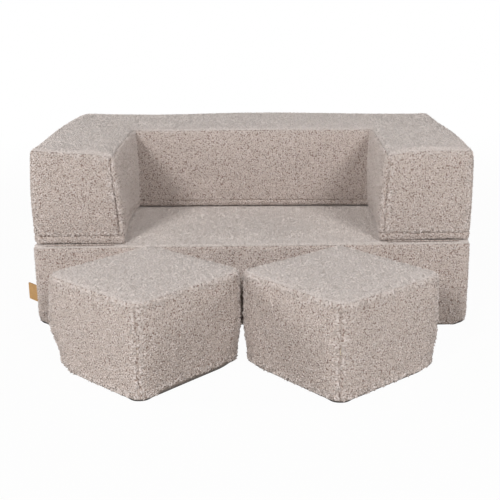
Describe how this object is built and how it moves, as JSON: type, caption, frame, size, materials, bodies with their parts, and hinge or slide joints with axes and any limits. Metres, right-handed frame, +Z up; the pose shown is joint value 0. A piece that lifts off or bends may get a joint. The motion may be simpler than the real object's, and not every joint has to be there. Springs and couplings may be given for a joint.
{
  "type": "kids fold-out sofa",
  "caption": "Low foam kids sofa in looped fleece: a base slab, a U-shaped back-and-arms block that folds forward over its front edge, and loose square poufs that fill the opening.",
  "frame": {"origin": "middle of the base slab's flat underside, on the floor", "axes": "+Z up; the sofa faces -Y, with the poufs in front of it at -Y; +X is towards the right arm as seen from the front"},
  "size_m": [1.0397, 1.0363, 0.419],
  "materials": {
    "boucle_cover": "looped fleece, warm greige",
    "boucle_top": "looped fleece, warm greige, top panels",
    "foam": "open-cell polyurethane foam, matte",
    "underside_cloth": "plain dark woven cloth",
    "zip_tape": "dark grey coil zip on woven tape",
    "zip_slider": "dark satin",
    "leather": "smooth tan"
  },
  "bodies": {
    "base": {"base_cover_bottom_panel": "underside_cloth", "base_cover_front_panel": "boucle_cover", "base_cover_side_band": "boucle_cover", "base_cover_top_panel": "boucle_top", "base_foam_block": "foam", "base_tag_loop": "leather", "base_zip_tape": "zip_tape"},
    "base_slider": {"base_zip_slider": "zip_slider"},
    "hinge_roll": {"hinge_roll_left": "boucle_cover", "hinge_roll_right": "boucle_cover"},
    "upper": {"arm_foam_left": "foam", "arm_foam_right": "foam", "arm_front_panel_left": "boucle_cover", "arm_front_panel_right": "boucle_cover", "arm_inner_panel_left": "boucle_cover", "arm_inner_panel_right": "boucle_cover", "back_foam_block": "foam", "backrest_front_panel": "boucle_cover", "upper_cover_bottom_panel": "boucle_cover", "upper_cover_outer_band": "boucle_cover", "upper_cover_top_panel": "boucle_top", "upper_zip_tape": "zip_tape"},
    "upper_slider": {"upper_zip_slider": "zip_slider"},
    "pouf_left": {"pouf_left_bottom_panel": "underside_cloth", "pouf_left_foam": "foam", "pouf_left_side_panel_east": "boucle_cover", "pouf_left_side_panel_north": "boucle_cover", "pouf_left_side_panel_south": "boucle_cover", "pouf_left_side_panel_west": "boucle_cover", "pouf_left_top_panel": "boucle_top", "pouf_left_zip_tape": "zip_tape"},
    "pouf_left_slider": {"pouf_left_zip_slider": "zip_slider"},
    "pouf_right": {"pouf_right_bottom_panel": "underside_cloth", "pouf_right_foam": "foam", "pouf_right_side_panel_east": "boucle_cover", "pouf_right_side_panel_north": "boucle_cover", "pouf_right_side_panel_south": "boucle_cover", "pouf_right_side_panel_west": "boucle_cover", "pouf_right_top_panel": "boucle_top", "pouf_right_zip_tape": "zip_tape"},
    "pouf_right_slider": {"pouf_right_zip_slider": "zip_slider"}
  },
  "joints": [
    {"name": "hinge_roll_turn", "type": "hinge", "parent": "base", "child": "hinge_roll", "pos_m": [0, -0.31, 0.21], "axis": [1, 0, 0], "range_deg": [0, 90]},
    {"name": "upper_fold", "type": "hinge", "parent": "hinge_roll", "child": "upper", "pos_m": [0, -0.31, 0.21], "axis": [1, 0, 0], "range_deg": [0, 90]},
    {"name": "pouf_left_place", "type": "hinge", "parent": "base", "child": "pouf_left", "pos_m": [-0.2146, -0.41774, 0], "axis": [0, 0, 1], "range_deg": [0, 41.5]},
    {"name": "pouf_right_place", "type": "hinge", "parent": "base", "child": "pouf_right", "pos_m": [0.13999, -0.55578, 0], "axis": [0, 0, 1], "range_deg": [0, 48.4]},
    {"name": "base_zip_slide", "type": "slide", "parent": "base", "child": "base_slider", "axis": [1, 0, 0], "range_m": [0, 0.67]},
    {"name": "upper_zip_slide", "type": "slide", "parent": "upper", "child": "upper_slider", "axis": [1, 0, 0], "range_m": [0, 0.67]},
    {"name": "pouf_left_zip_slide", "type": "slide", "parent": "pouf_left", "child": "pouf_left_slider", "axis": [-0.6626, -0.749, 0], "range_m": [0, 0.17]},
    {"name": "pouf_right_zip_slide", "type": "slide", "parent": "pouf_right", "child": "pouf_right_slider", "axis": [0.7478, 0.6639, 0], "range_m": [0, 0.17]}
  ],
  "couplings": [
    {"joint": "pouf_left_place", "follows": "hinge_roll_turn", "ratio": 0.46111},
    {"joint": "pouf_right_place", "follows": "hinge_roll_turn", "ratio": 0.53777}
  ]
}
